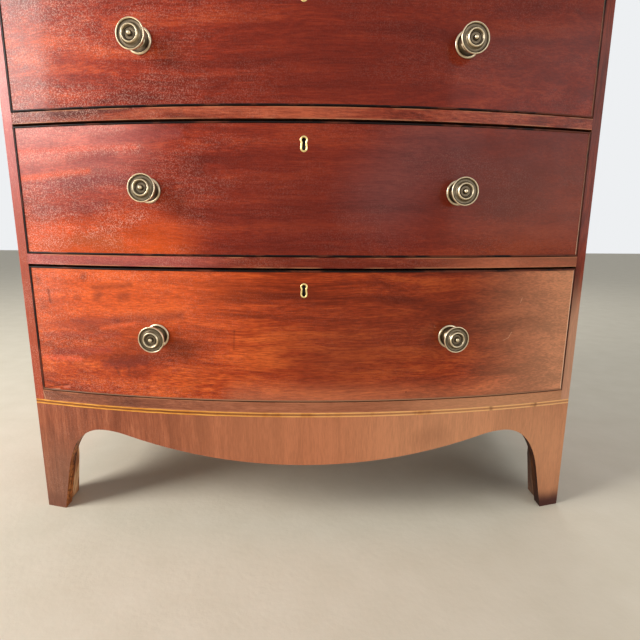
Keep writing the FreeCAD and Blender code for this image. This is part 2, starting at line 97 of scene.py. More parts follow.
# Numbers from which the pieces' places in the pattern count on
TOP_SEED, FRONT_SEED, RAIL_SEED, SIDE_SEED, APRON_SEED = 1, 2, 9, 15, 20
BACK_SEED, BARE_SEED, DRAWER_SEED = 29, 30, 40

# ---- The bowed front, from the frame ----

string_low, string_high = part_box("light_strings")
CASE_HALF = string_high.x
BOW_RADIUS = (CASE_HALF ** 2 + BOW_RISE ** 2) / (2 * BOW_RISE)
BOW_CENTRE_Y = string_low.y + BOW_RADIUS


def bow_y(x, proud=0.0):
    """Y of the surface that stands proud of the bowed front, at x."""
    return BOW_CENTRE_Y - math.sqrt((BOW_RADIUS + proud) ** 2 - x ** 2)


# ---- Node trees ----

def srgb(red, green, blue):
    """Linear colour of an 8-bit screen colour."""
    def channel(value):
        value /= 255
        return value / 12.92 if value <= 0.04045 else ((value + 0.055) / 1.055) ** 2.4
    return (channel(red), channel(green), channel(blue), 1.0)


class Graph:
    """Node tree of one material, around a Principled shader."""

    def __init__(self, name):
        self.material = bpy.data.materials.new(name)
        self.material.use_nodes = True
        self.tree = self.material.node_tree
        self.tree.nodes.clear()
        self.shader = self.node("ShaderNodeBsdfPrincipled")
        output = self.node("ShaderNodeOutputMaterial")
        self.tree.links.new(self.shader.outputs[0], output.inputs["Surface"])
        coordinates = self.node("ShaderNodeTexCoord")
        self.place = coordinates.outputs["Object"]
        self.x, self.y, self.z = self.split(self.place)
        self.normal = self.split(coordinates.outputs["Normal"])

    def node(self, kind, **settings):
        made = self.tree.nodes.new(kind)
        for key, value in settings.items():
            setattr(made, key, value)
        return made

    def feed(self, target, source):
        """Give an input a number or a colour, or link it to an output."""
        if isinstance(source, bpy.types.NodeSocket):
            self.tree.links.new(source, target)
        else:
            target.default_value = source

    def set(self, **inputs):
        """Set inputs of the shader; an underscore stands for a space."""
        for key, value in inputs.items():
            self.feed(self.shader.inputs[key.replace("_", " ")], value)

    def split(self, vector):
        made = self.node("ShaderNodeSeparateXYZ")
        self.feed(made.inputs[0], vector)
        return tuple(made.outputs)

    def math(self, operation, *values, clamp=False):
        made = self.node("ShaderNodeMath", operation=operation, use_clamp=clamp)
        for slot, value in zip(made.inputs, values):
            self.feed(slot, value)
        return made.outputs[0]

    def times(self, first, second):
        return self.math("MULTIPLY", first, second)

    def blend(self, *parts):
        """Sum of values, each times its weight."""
        total = 0.0
        for value, weight in parts:
            total = self.math("MULTIPLY_ADD", value, weight, total)
        return total

    def noise(self, scale, seed=(0, 0, 0), detail=3.0, roughness=0.55, place=None):
        """Noise whose patches are 1 / scale metres long along each axis."""
        mapping = self.node("ShaderNodeMapping")
        self.feed(mapping.inputs["Vector"], place or self.place)
        self.feed(mapping.inputs["Location"], seed)
        self.feed(mapping.inputs["Scale"], scale)
        made = self.node("ShaderNodeTexNoise")
        self.feed(made.inputs["Vector"], mapping.outputs[0])
        self.feed(made.inputs["Scale"], 1.0)
        self.feed(made.inputs["Detail"], detail)
        self.feed(made.inputs["Roughness"], roughness)
        return made.outputs["Fac"]

    def wavy(self, grain, reach, scale, seed):
        """The place, moved across the grain by up to reach, for wandering grain."""
        shift = self.math("MULTIPLY_ADD", self.noise(scale, seed, 2), 2 * reach, -reach)
        made = self.node("ShaderNodeCombineXYZ")
        for axis, slot, value in zip("XYZ", made.inputs, (self.x, self.y, self.z)):
            self.feed(slot, value if axis == grain else self.math("ADD", value, shift))
        return made.outputs[0]

    def fade(self, value, low, high, start=0.0, end=1.0):
        """Smooth step from start to end as value goes from low to high."""
        made = self.node("ShaderNodeMapRange", interpolation_type="SMOOTHSTEP")
        for slot, number in zip(made.inputs, (value, low, high, start, end)):
            self.feed(slot, number)
        return made.outputs[0]

    def mix(self, amount, first, second, blend="MIX"):
        made = self.node("ShaderNodeMix", data_type="RGBA", blend_type=blend)
        factor, first_slot, second_slot = made.inputs[0], made.inputs[6], made.inputs[7]
        self.feed(factor, amount)
        self.feed(first_slot, first)
        self.feed(second_slot, second)
        return made.outputs[2]

    def ramp(self, value, stops):
        """Colour that goes through stops of position and colour."""
        made = self.node("ShaderNodeValToRGB")
        self.feed(made.inputs["Fac"], value)
        elements = made.color_ramp.elements
        while len(elements) < len(stops):
            elements.new(0.5)
        for element, (position, colour) in zip(elements, stops):
            element.position = position
            element.color = colour
        return made.outputs["Color"]

    def near(self, value, centre, reach):
        """1 where value is at centre, falling to 0 at reach from it."""
        distance = self.math("ABSOLUTE", self.math("SUBTRACT", value, centre))
        return self.fade(distance, 0.0, reach, 1.0, 0.0)

    def stroke(self, start, end, width):
        """1 on the line between two places of x and z, falling to 0 at width from it."""
        run = (end[0] - start[0], end[1] - start[1])
        length = math.hypot(*run)
        across = self.math("SUBTRACT", self.x, start[0])
        up = self.math("SUBTRACT", self.z, start[1])
        share = self.blend((across, run[0] / length ** 2), (up, run[1] / length ** 2))
        share = self.math("ADD", share, 0.0, clamp=True)
        across = self.math("SUBTRACT", across, self.times(share, run[0]))
        up = self.math("SUBTRACT", up, self.times(share, run[1]))
        square = self.math("MULTIPLY_ADD", across, across, self.times(up, up))
        return self.fade(self.math("SQRT", square), 0.0, width, 1.0, 0.0)

    def facing(self, directions):
        """1 on the faces that look along any of the directions, such as -Y."""
        found = 0.0
        for direction in directions:
            side = self.normal["XYZ".index(direction[1])]
            turned = self.times(side, 1.0 if direction[0] == "+" else -1.0)
            found = self.math("MAXIMUM", self.fade(turned, 0.35, 0.6), found)
        return found

    def bump(self, height, distance):
        made = self.node("ShaderNodeBump")
        self.feed(made.inputs["Height"], height)
        self.feed(made.inputs["Distance"], distance)
        self.feed(self.shader.inputs["Normal"], made.outputs[0])


# ---- Woods ----

def along(grain, lengthwise, crosswise):
    """Scale for a pattern that is long along the grain's axis."""
    return tuple(lengthwise if axis == grain else crosswise for axis in "XYZ")


def figured(graph, grain, seed, tones, contrast):
    """Polished mahogany: its colour, and its bands, streaks and fibres as a number near 0.5."""
    dark, middle, light = tones
    wavy = graph.wavy(grain, 18 * MM, along(grain, 4, 11), seed)
    broad = graph.noise(along(grain, 2.2, 15), seed, 2, place=wavy)
    bands = graph.noise(along(grain, 3.2, 52), seed, 3, place=wavy)
    streaks = graph.noise(along(grain, 12, 330), seed, 4, 0.65, place=wavy)
    tone = graph.blend((broad, 0.36), (bands, 0.34), (streaks, 0.3))
    spread = 0.125 / contrast
    colour = graph.ramp(tone, [(0.5 - spread, dark), (0.5, middle), (0.5 + spread, light)])

    mottle = graph.noise(along(grain, 60, 9), seed, 2)
    colour = graph.mix(graph.fade(mottle, 0.42, 0.8, 0.0, 0.15 * contrast), colour, dark)
    smudges = graph.noise(along(grain, 10, 46), seed, 4, place=wavy)
    clusters = graph.noise(along(grain, 3, 6), seed, 1)
    smudges = graph.times(graph.fade(smudges, 0.5, 0.72, 0.0, 0.55 * contrast),
                          graph.fade(clusters, 0.42, 0.62))
    colour = graph.mix(smudges, colour, dark)
    fibres = graph.noise(along(grain, 70, 640), seed, 3)
    colour = graph.mix(graph.fade(fibres, 0.42, 0.64, 0.0, 0.34), colour, dark)
    pores = graph.noise(along(grain, 130, 2300), seed, 2)
    colour = graph.mix(graph.fade(pores, 0.56, 0.7, 0.0, 0.45), colour, dark)
    return colour, graph.blend((tone, 0.7), (fibres, -0.3), (1.0, 0.3))


def raw(graph, grain, seed, tones):
    """Colour of unvarnished wood: growth rings, fibres and grime."""
    dark, middle, light = tones
    wavy = graph.wavy(grain, 10 * MM, along(grain, 3, 16), seed)
    rings = graph.noise(along(grain, 1.6, 75), seed, 4, 0.6, place=wavy)
    colour = graph.ramp(rings, [(0.38, dark), (0.5, middle), (0.62, light)])
    fibres = graph.noise(along(grain, 50, 900), seed, 3)
    colour = graph.mix(graph.fade(fibres, 0.5, 0.72, 0.0, 0.4), colour, dark)
    grime = graph.noise((9, 9, 9), seed, 4)
    return graph.mix(graph.fade(grime, 0.46, 0.72, 0.0, 0.45), colour, GRIME)


def crazing_with_glints(graph, colour, seed, amount, crazed=()):
    """Crazing and specks in old varnish, painted pale as glints of light on it, densest at the
    left of the chest, where the light falls.

    crazed lists places that are full of it, as two ends and a reach.
    """
    crazing = graph.near(graph.noise((370, 370, 370), seed, 2), 0.5, 0.09)
    broken = graph.fade(graph.noise((520, 520, 520), seed, 1), 0.42, 0.56)
    specks = graph.fade(graph.noise((780, 780, 780), seed, 1), 0.68, 0.73)
    marks = graph.math("MAXIMUM", graph.times(crazing, broken), specks)
    patches = graph.fade(graph.noise((9, 9, 26), seed, 3), 0.4, 0.62, 0.2, 0.8)
    # painted glints: denser towards the left, where the light falls
    lit_leftwards = graph.times(graph.fade(graph.x, -0.44, -0.22, 1.0, 0.5),
                            graph.fade(graph.x, -0.28, 0.0, 1.0, 0.2))
    density = graph.times(patches, lit_leftwards)
    for start, end, reach in crazed:
        patch = graph.times(graph.stroke(start, end, reach), 0.8)
        density = graph.math("MAXIMUM", density, patch)
    marks = graph.times(marks, density)
    return graph.mix(graph.times(marks, amount), colour, CRAZING_GLINT)


def varnished(node, name, grain, seed, tones, outside, inner_tones, contrast=1.0, crackle_glint=0.3,
              relief=0.1, worn=()):
    """Figured mahogany under old varnish on its outside faces, and bare elsewhere.

    tones are the dark, middle and light colours.  relief is how much lighter
    and darker the figure makes every place.  worn lists heights of horizontal
    edges where the varnish has rubbed through.  The node's own blooms, figure
    colour and painted light and shade, lie under the crazing and its painted
    glints, and its SCRATCHES over it.
    """
    graph = Graph(name)
    colour, figure = figured(graph, grain, seed, tones, contrast)
    if node in BLOOMS_AND_PAINTED_LIGHT:
        front = graph.facing(("-Y",))
        for start, end, reach, tone, amount in BLOOMS_AND_PAINTED_LIGHT[node]:
            spread = graph.times(graph.stroke(start, end, reach), amount)
            colour = graph.mix(graph.times(spread, front), colour, tone)
    shade = graph.fade(figure, 0.4, 0.6, 1 - relief, 1 + relief)
    colour = graph.mix(1.0, colour, shade, "MULTIPLY")
    colour = crazing_with_glints(graph, colour, seed, crackle_glint, CRAZED_GLINT_PLACES.get(node, ()))
    for height in worn:
        rubbed = graph.times(graph.near(graph.z, height, EDGE_WEAR),
                             graph.fade(graph.noise((22, 22, 22), seed, 4), 0.4, 0.58))
        colour = graph.mix(graph.times(rubbed, 0.7), colour, RUBBED)
    for start, end, reach, tone, amount in SCRATCHES.get(node, ()):
        line = graph.times(graph.stroke(start, end, reach), amount)
        colour = graph.mix(line, colour, tone)
    varnish = graph.facing(outside)
    colour = graph.mix(varnish, raw(graph, grain, seed, inner_tones), colour)

    peel = graph.noise((190, 190, 190), seed, 3)
    fibres = graph.noise(along(grain, 70, 1300), seed, 2)
    graph.bump(graph.blend((peel, 0.65), (fibres, 0.35)), 0.2 * MM)
    uneven = graph.noise((34, 34, 34), seed, 4)
    graph.set(Base_Color=colour, Specular_IOR_Level=0.08, Coat_Weight=0.16, Coat_Roughness=0.12,
              Roughness=graph.mix(varnish, (0.75,) * 4, graph.fade(uneven, 0.35, 0.65, 0.3, 0.44)))
    return graph


def bare_wood(name, grain, seed, tones, board_height=None, board_low=0.0, left_tones=None):
    """Unvarnished wood with saw marks, if need be of boards one above another.

    left_tones are painted lit tones for the front left corner of the chest, if given.
    """
    graph = Graph(name)
    if board_height:
        level = graph.math("DIVIDE", graph.math("SUBTRACT", graph.z, board_low), board_height)
        number = graph.math("FLOOR", level)
        # every board is cut from another place in the pattern
        shifted = graph.node("ShaderNodeCombineXYZ")
        for slot, value, shift in zip(shifted.inputs, (graph.x, graph.y, graph.z), BOARD_SHIFT):
            graph.feed(slot, graph.math("MULTIPLY_ADD", number, shift, value))
        graph.place = shifted.outputs[0]
        graph.x, graph.y, graph.z = graph.split(graph.place)
    fibres = graph.noise(along(grain, 50, 900), seed, 3)
    saw_marks = graph.noise(along(grain, 330, 6), seed, 2)
    graph.bump(graph.blend((fibres, 0.6), (saw_marks, 0.4)), 0.35 * MM)
    colour = raw(graph, grain, seed, tones)
    if left_tones:
        # painted light: lit tones at the front left corner
        corner = graph.times(graph.fade(graph.x, *LEFT_CORNER_X, 1.0, 0.0),
                             graph.fade(graph.y, *FRONT_CORNER_Y, 1.0, 0.0))
        colour = graph.mix(corner, colour, raw(graph, grain, seed, left_tones))
    if board_height:
        past_joint = graph.math("FRACT", level)
        joint = graph.fade(past_joint, 0.0, JOINT_SHADE / board_height, 0.95, 0.0)
        colour = graph.mix(joint, colour, JOINT)
    graph.set(Base_Color=colour, Roughness=graph.fade(fibres, 0.3, 0.7, 0.62, 0.8))
    return graph.material


# Dark, middle and light colours of each wood
BOTTOM_TONES = (srgb(124, 40, 16), srgb(178, 66, 26), srgb(214, 100, 42))
DRAWER_TONES = (srgb(116, 32, 18), srgb(166, 54, 28), srgb(204, 84, 42))
CASE_TONES = (srgb(98, 34, 22), srgb(152, 62, 40), srgb(186, 92, 62))
BOTTOM_RAIL_TONES = (srgb(112, 62, 45), srgb(153, 90, 65), srgb(184, 116, 86))
# tones of the base, made paler in part as painted light
APRON_TONES = (srgb(124, 64, 42), srgb(158, 88, 60), srgb(180, 110, 78))
SAWN_TONES = (srgb(84, 40, 20), srgb(172, 94, 44), srgb(228, 144, 82))
LIT_BLOCK_TONES = (srgb(146, 84, 46), srgb(220, 146, 90), srgb(248, 200, 150))
PINE_TONES = (srgb(120, 82, 48), srgb(160, 120, 76), srgb(188, 150, 102))
# dark tones of the blocks and brackets inside the feet: painted shade
SHADED_BLOCK_TONES = (srgb(58, 36, 26), srgb(92, 60, 40), srgb(124, 84, 54))
OAK_TONES = (srgb(104, 72, 44), srgb(142, 104, 66), srgb(168, 130, 88))
RAW_MAHOGANY_TONES = (srgb(84, 44, 28), srgb(122, 70, 44), srgb(150, 94, 62))

PALE_TAN = srgb(214, 150, 112)
# brown of painted shade, over the right of the drawers and the middle of a rail
PAINTED_SHADE_BROWN = srgb(108, 34, 20)
UMBER = srgb(98, 40, 28)
SCRATCH = srgb(222, 164, 128)
CRACK = srgb(58, 22, 14)
# pale crazing, painted as glints of light in the varnish
CRAZING_GLINT = srgb(246, 200, 182)
RUBBED = srgb(206, 136, 98)
GRIME = srgb(66, 46, 32)
JOINT = srgb(46, 30, 20)

# Broad soft changes of colour, spots and bands of the figure, and painted light
# and shade: the two ends as x and z, how far it reaches, its colour and its amount
BLOOMS_AND_PAINTED_LIGHT = {
    "top_drawer_front": [
        # painted shade over the right half
        ((0.08, 0.90), (0.42, 0.96), 0.34, PAINTED_SHADE_BROWN, 0.7),
    ],
    "second_drawer_front": [
        # painted shade over the right half
        ((0.04, 0.70), (0.40, 0.80), 0.34, PAINTED_SHADE_BROWN, 0.75),
    ],
    "third_drawer_front": [
        # painted shade over the right half
        ((0.02, 0.50), (0.40, 0.62), 0.34, PAINTED_SHADE_BROWN, 0.85),
        ((0.34, 0.46), (0.46, 0.50), 0.20, srgb(140, 62, 32), 0.6),
        ((0.12, 0.54), (0.18, 0.62), 0.10, srgb(120, 96, 98), 0.25),
        # painted reflection: pale glare at the upper left
        ((-0.47, 0.655), (-0.32, 0.655), 0.16, srgb(234, 152, 146), 0.6),
        ((-0.42, 0.45), (-0.22, 0.45), 0.09, srgb(228, 92, 26), 0.65),
        # dark and light bands of the left half's figure
        ((-0.31, 0.615), (-0.18, 0.620), 0.012, srgb(150, 72, 70), 0.45),
        ((-0.44, 0.600), (-0.245, 0.602), 0.008, srgb(236, 92, 58), 0.4),
        ((-0.35, 0.587), (-0.28, 0.591), 0.013, srgb(128, 56, 56), 0.5),
        ((-0.44, 0.560), (-0.32, 0.570), 0.008, srgb(242, 98, 50), 0.5),
        ((-0.40, 0.548), (-0.26, 0.562), 0.011, srgb(144, 66, 68), 0.45),
        ((-0.415, 0.511), (-0.31, 0.519), 0.018, srgb(142, 68, 66), 0.4),
        ((-0.425, 0.476), (-0.36, 0.483), 0.020, srgb(248, 94, 32), 0.4),
        ((-0.35, 0.469), (-0.28, 0.465), 0.016, srgb(176, 90, 50), 0.35),
    ],
    "bottom_drawer_front": [
        ((-0.46, 0.40), (-0.20, 0.42), 0.19, srgb(228, 98, 46), 0.6),
        # painted shade at the right
        ((0.06, 0.30), (0.28, 0.38), 0.18, srgb(112, 44, 26), 0.62),
        ((-0.10, 0.218), (0.34, 0.218), 0.045, srgb(200, 122, 86), 0.55),
        ((0.46, 0.24), (0.47, 0.42), 0.24, PALE_TAN, 0.9),
        ((0.20, 0.330), (0.38, 0.345), 0.03, srgb(92, 56, 40), 0.22),
        # dark spots at the upper left
        ((-0.345, 0.411), (-0.344, 0.413), 0.010, UMBER, 0.5),
        ((-0.428, 0.400), (-0.426, 0.404), 0.009, UMBER, 0.45),
        ((-0.325, 0.380), (-0.321, 0.384), 0.012, UMBER, 0.5),
        ((-0.284, 0.382), (-0.276, 0.384), 0.013, UMBER, 0.4),
        ((-0.330, 0.396), (-0.267, 0.401), 0.008, UMBER, 0.45),
        ((-0.362, 0.378), (-0.357, 0.379), 0.008, UMBER, 0.35),
        ((-0.425, 0.360), (-0.421, 0.361), 0.010, UMBER, 0.35),
        # dark and light bands of the left half's figure
        ((-0.370, 0.341), (-0.295, 0.343), 0.010, srgb(132, 58, 48), 0.55),
        ((-0.430, 0.331), (-0.326, 0.333), 0.012, srgb(150, 66, 52), 0.4),
        ((-0.425, 0.316), (-0.293, 0.321), 0.009, srgb(146, 60, 52), 0.4),
        ((-0.293, 0.345), (-0.190, 0.356), 0.013, srgb(118, 48, 34), 0.5),
        ((-0.322, 0.330), (-0.266, 0.341), 0.006, srgb(246, 104, 54), 0.5),
        ((-0.411, 0.285), (-0.311, 0.296), 0.010, srgb(156, 62, 56), 0.4),
        ((-0.430, 0.276), (-0.364, 0.278), 0.007, srgb(242, 98, 68), 0.4),
        ((-0.318, 0.270), (-0.253, 0.280), 0.015, srgb(136, 54, 44), 0.45),
        ((-0.302, 0.267), (-0.297, 0.256), 0.004, UMBER, 0.5),
        ((-0.280, 0.269), (-0.280, 0.255), 0.004, UMBER, 0.45),
    ],
    "side_left": [
        # painted reflection: pale glare at the top
        ((-0.45, 0.60), (-0.45, 0.80), 0.20, srgb(230, 138, 136), 0.55),
        ((-0.45, 0.20), (-0.45, 0.48), 0.13, srgb(200, 86, 50), 0.45),
    ],
    "side_right": [
        ((0.46, 0.20), (0.46, 0.33), 0.10, srgb(230, 172, 138), 0.8),
    ],
    "lower_rail": [
        # painted light and shade: lit pink at the left, darker in the middle, lighter at the right
        ((0.02, 0.437), (0.16, 0.437), 0.20, PAINTED_SHADE_BROWN, 0.6),
        ((0.34, 0.437), (0.45, 0.437), 0.20, srgb(196, 118, 84), 0.6),
        ((-0.44, 0.437), (-0.22, 0.437), 0.15, srgb(214, 112, 106), 0.45),
    ],
    "bottom_rail": [
        # painted light: paler at the middle and right
        ((0.02, 0.21), (0.12, 0.21), 0.30, srgb(182, 112, 78), 0.5),
        ((0.30, 0.21), (0.46, 0.21), 0.22, srgb(218, 154, 112), 0.8),
    ],
    "front_apron": [
        # painted light: paler at the middle and right
        ((0.00, 0.16), (0.10, 0.16), 0.34, srgb(198, 126, 88), 0.8),
        ((0.26, 0.15), (0.46, 0.10), 0.26, srgb(220, 154, 112), 0.9),
        ((0.192, 0.150), (0.220, 0.158), 0.030, srgb(122, 70, 50), 0.22),
        # painted shade on the left foot
        ((-0.45, 0.0), (-0.41, 0.06), 0.12, srgb(120, 86, 68), 0.65),
    ],
}

# Places full of crazing and its painted glints: the two ends as x and z, and how far it reaches
CRAZED_GLINT_PLACES = {
    "third_drawer_front": [
        ((-0.44, 0.628), (-0.27, 0.632), 0.024),
        ((-0.44, 0.590), (-0.33, 0.598), 0.022),
        ((-0.33, 0.597), (-0.24, 0.600), 0.014),
        ((-0.43, 0.540), (-0.39, 0.552), 0.018),
        ((-0.43, 0.512), (-0.40, 0.520), 0.014),
        ((-0.33, 0.478), (-0.24, 0.505), 0.018),
    ],
    "bottom_drawer_front": [
        ((-0.43, 0.412), (-0.24, 0.415), 0.016),
    ],
}

# Fine lines and spots over the varnish, as in BLOOMS_AND_PAINTED_LIGHT
SCRATCHES = {
    "bottom_drawer_front": [
        # lifted chip of veneer at the lower left corner, with its crack
        ((-0.399, 0.2268), (-0.389, 0.2285), 3.6 * MM, srgb(232, 140, 116), 0.4),
        ((-0.439, 0.2213), (-0.423, 0.2255), 2.0 * MM, CRACK, 0.6),
        ((-0.423, 0.2255), (-0.407, 0.2295), 2.0 * MM, CRACK, 0.6),
        ((-0.407, 0.2295), (-0.391, 0.2317), 2.0 * MM, CRACK, 0.5),
        ((-0.435, 0.2192), (-0.408, 0.2236), 1.6 * MM, SCRATCH, 0.6),
        # scratches at the right
        ((0.3205, 0.3130), (0.3290, 0.3165), 0.8 * MM, SCRATCH, 0.75),
        ((0.3290, 0.3165), (0.3345, 0.3260), 0.8 * MM, SCRATCH, 0.85),
        ((0.3455, 0.3740), (0.3478, 0.3815), 0.9 * MM, SCRATCH, 0.8),
        # upright scratches at the left, and a dark pit
        ((-0.4095, 0.3890), (-0.4080, 0.3690), 4.0 * MM, CRACK, 0.5),
        ((-0.1085, 0.3040), (-0.1070, 0.3340), 2.2 * MM, CRACK, 0.3),
        ((0.1620, 0.2332), (0.1626, 0.2336), 1.3 * MM, srgb(22, 12, 10), 0.95),
    ],
    "bottom_rail": [
        ((-0.4410, 0.2155), (-0.4384, 0.2030), 0.9 * MM, srgb(232, 176, 140), 0.7),
    ],
}


def seed_for(index):
    """Place in the pattern from which piece number index is cut."""
    return (3.7 * index, 1.9 * index, 5.3 * index)


def front_material(index, drawer):
    """Veneer of a drawer front; the lowest one is redder, with a stronger figure."""
    lowest = index == 0
    tones = BOTTOM_TONES if lowest else DRAWER_TONES
    contrast, crackle_glint, relief = (1.2, 0.38, 0.2) if lowest else (1.0, 0.68, 0.14)
    return varnished(drawer + "_front", drawer + "_veneer", "X", seed_for(FRONT_SEED + index),
                     tones, ("-Y",), OAK_TONES, contrast, crackle_glint, relief).material


def rail_material(index, node):
    """Rail with rubbed edges; the lowest one is browner, with less crazing."""
    low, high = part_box(node)
    tones = CASE_TONES if index else BOTTOM_RAIL_TONES
    contrast, crackle_glint = (1.3, 0.9) if index else (1.0, 0.2)
    return varnished(node, node + "_wood", "X", seed_for(RAIL_SEED + index), tones, ("-Y",),
                     RAW_MAHOGANY_TONES, contrast, crackle_glint, worn=(low.z, high.z)).material


def apron_material(index, node, outside):
    """Crosswise veneer of the base, darker towards the floor, with sawn edges in painted shade at
    the right.
    """
    graph = varnished(node, node + "_wood", "Z", seed_for(APRON_SEED + index), APRON_TONES,
                      outside, SAWN_TONES, contrast=0.9, crackle_glint=0.12)
    colour = graph.shader.inputs["Base Color"].links[0].from_socket
    ragged = graph.blend((graph.z, 1.0), (graph.noise((26, 26, 10)), 12 * MM))
    # darker towards the floor, more so at the right
    darker_low = graph.times(graph.fade(ragged, DARKEN_LOW, DARKEN_HIGH, 0.97, 0.0),
                        graph.fade(graph.x, -0.3, 0.3, 0.25, 1.0))
    colour = graph.mix(darker_low, colour, srgb(78, 40, 38))
    inner = graph.math("SUBTRACT", 1.0, graph.facing(outside), clamp=True)
    pits = graph.fade(graph.noise((210, 210, 150), detail=4), 0.5, 0.64, 0.0, 0.75)
    colour = graph.mix(graph.times(inner, pits), colour, srgb(64, 30, 18))
    # painted shade: the inner faces at the right are made nearly black
    shaded_right_edges = graph.times(inner, graph.fade(graph.x, -0.05, 0.15, 0.0, 0.85))
    colour = graph.mix(shaded_right_edges, colour, srgb(34, 16, 12))
    graph.set(Base_Color=colour)
    return graph.material


def string_material(name, dark, light, right_tone, gap_tone):
    """Inlaid line, paler at the right, with grain along the front and a few short losses."""
    graph = Graph(name)
    grain = graph.noise((14, 300, 900))
    colour = graph.ramp(grain, [(0.35, dark), (0.65, light)])
    colour = graph.mix(graph.fade(graph.x, -0.25, 0.35, 0.0, 0.85), colour, right_tone)
    dirt = graph.noise((34, 8, 8))
    colour = graph.mix(graph.fade(dirt, 0.5, 0.68, 0.0, 0.5), colour, dark)
    losses = graph.fade(graph.noise((210, 8, 60), (0, 0, 3), 2), 0.72, 0.76)
    ragged = graph.blend((graph.x, 1.0), (graph.noise((90, 90, 700)), 8 * MM), (1.0, -4 * MM))
    for x in STRING_LOSSES:
        losses = graph.math("MAXIMUM", losses, graph.near(ragged, x, 5 * MM))
    colour = graph.mix(graph.times(losses, 0.6), colour, gap_tone)
    graph.bump(grain, 0.1 * MM)
    graph.set(Base_Color=colour, Roughness=0.42, Specular_IOR_Level=0.15, Coat_Weight=0.08,
              Coat_Roughness=0.14)
    return graph.material


def ebonised_material():
    """Black-stained beads, rubbed brown here and there, and down to tan lowest down, with a
    painted shadow line and a painted highlight.
    """
    graph = Graph("ebonised")
    rubs = graph.noise((20, 20, 20), detail=4)
    rightwards = graph.fade(graph.x, 0.1, 0.44, 0.0, 0.16)
    rubs = graph.math("ADD", rubs, rightwards)
    colour = graph.mix(graph.fade(rubs, 0.5, 0.66, 0.0, 0.8), srgb(22, 13, 12), srgb(112, 56, 38))
    low = graph.times(graph.fade(graph.z, 0.23, 0.3, 0.7, 0.0), graph.fade(graph.x, -0.1, 0.3))
    colour = graph.mix(low, colour, srgb(124, 88, 62))
    # the chest's lowest bead is tan, above a painted shadow line: its lowest millimetre stays
    # black
    above_gap = graph.math("SUBTRACT", graph.z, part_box("bottom_drawer_cockbead")[0].z)
    lowest = graph.times(graph.fade(above_gap, BEAD_THICKNESS, 6 * MM, 1.0, 0.0),
                         graph.fade(above_gap, 0.9 * MM, 1.3 * MM))
    lowest = graph.times(lowest, graph.fade(graph.x, -0.4, -0.1, 0.55, 0.9))
    colour = graph.mix(lowest, colour, srgb(166, 118, 88))
    # the beads' inner sides at the far right are painted pale: a painted highlight
    bare = graph.times(graph.fade(graph.x, 0.4, 0.43), graph.facing(("-X",)))
    bare = graph.times(bare, graph.fade(graph.z, 0.34, 0.6, 1.0, 0.2))
    colour = graph.mix(bare, colour, srgb(246, 214, 182))
    graph.bump(graph.noise((60, 900, 900)), 0.1 * MM)
    graph.set(Base_Color=colour, Roughness=0.45, Specular_IOR_Level=0.12, Coat_Weight=0.05,
              Coat_Roughness=0.12)
    return graph.material


# ---- Metals ----

def brass_material(name, bright, middle, dark, roughness=0.3):
    """Brass that is bright on its ridges; the mesh's tarnish attribute darkens it."""
    graph = Graph(name)
    attribute = graph.node("ShaderNodeAttribute", attribute_name="tarnish")
    blotches = graph.noise((240, 240, 240), detail=4)
    amount = graph.blend((attribute.outputs["Fac"], 1.0), (blotches, 0.3))
    colour = graph.ramp(amount, [(0.16, bright), (0.62, middle), (1.0, dark)])
    graph.bump(graph.noise((1500, 1500, 1500), detail=2), 0.03 * MM)
    graph.set(Base_Color=colour, Metallic=1.0,
              Roughness=graph.fade(amount, 0.1, 1.2, roughness, 0.5))
    return graph.material


def iron_material(name, clean, rusty, amount):
    """Dull dark iron with specks of rust."""
    graph = Graph(name)
    rust = graph.noise((420, 420, 420), detail=4)
    colour = graph.mix(graph.fade(rust, 0.52, 0.68, 0.0, amount), clean, rusty)
    graph.bump(rust, 0.08 * MM)
    graph.set(Base_Color=colour, Metallic=0.85, Roughness=graph.fade(rust, 0.4, 0.7, 0.4, 0.75))
    return graph.material


# ---- Pieces built here ----

def new_piece(name, mesh, material, body, sharp_angle=SHARP_ANGLE, node=None):
    """Put a mesh in the scene as a piece that moves with a body, in place of a node if named."""
    piece = bpy.data.objects.new(name, mesh)
    bpy.context.scene.collection.objects.link(piece)
    mesh.materials.append(material)
    mesh.shade_smooth()
    mesh.set_sharp_from_angle(angle=math.radians(sharp_angle))
    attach(piece, body)
    if node:
        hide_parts(node)


def finished(builder, name):
    """Mesh from a bmesh, with its faces turned outwards."""
    bmesh.ops.recalc_face_normals(builder, faces=builder.faces)
    mesh = bpy.data.meshes.new(name)
    builder.to_mesh(mesh)
    builder.free()
    return mesh


def rounded(corners, steps=5):
    """Points of an outline whose corners are rounded.

    A corner is (across, up, radius, tarnish); the radius is how far from the
    corner its rounding starts.
    """
    points = []
    last = len(corners) - 1
    for i, (across, up, radius, tarnish) in enumerate(corners):
        corner = Vector((across, up))
        if radius == 0 or i in (0, last):
            points.append((across, up, tarnish))
            continue
        before, after = Vector(corners[i - 1][:2]), Vector(corners[i + 1][:2])
        start = corner + (before - corner).normalized() * radius
        end = corner + (after - corner).normalized() * radius
        for step in range(steps + 1):
            t = step / steps
            point = start * (1 - t) ** 2 + corner * 2 * t * (1 - t) + end * t ** 2
            points.append((point.x, point.y, tarnish))
    return points


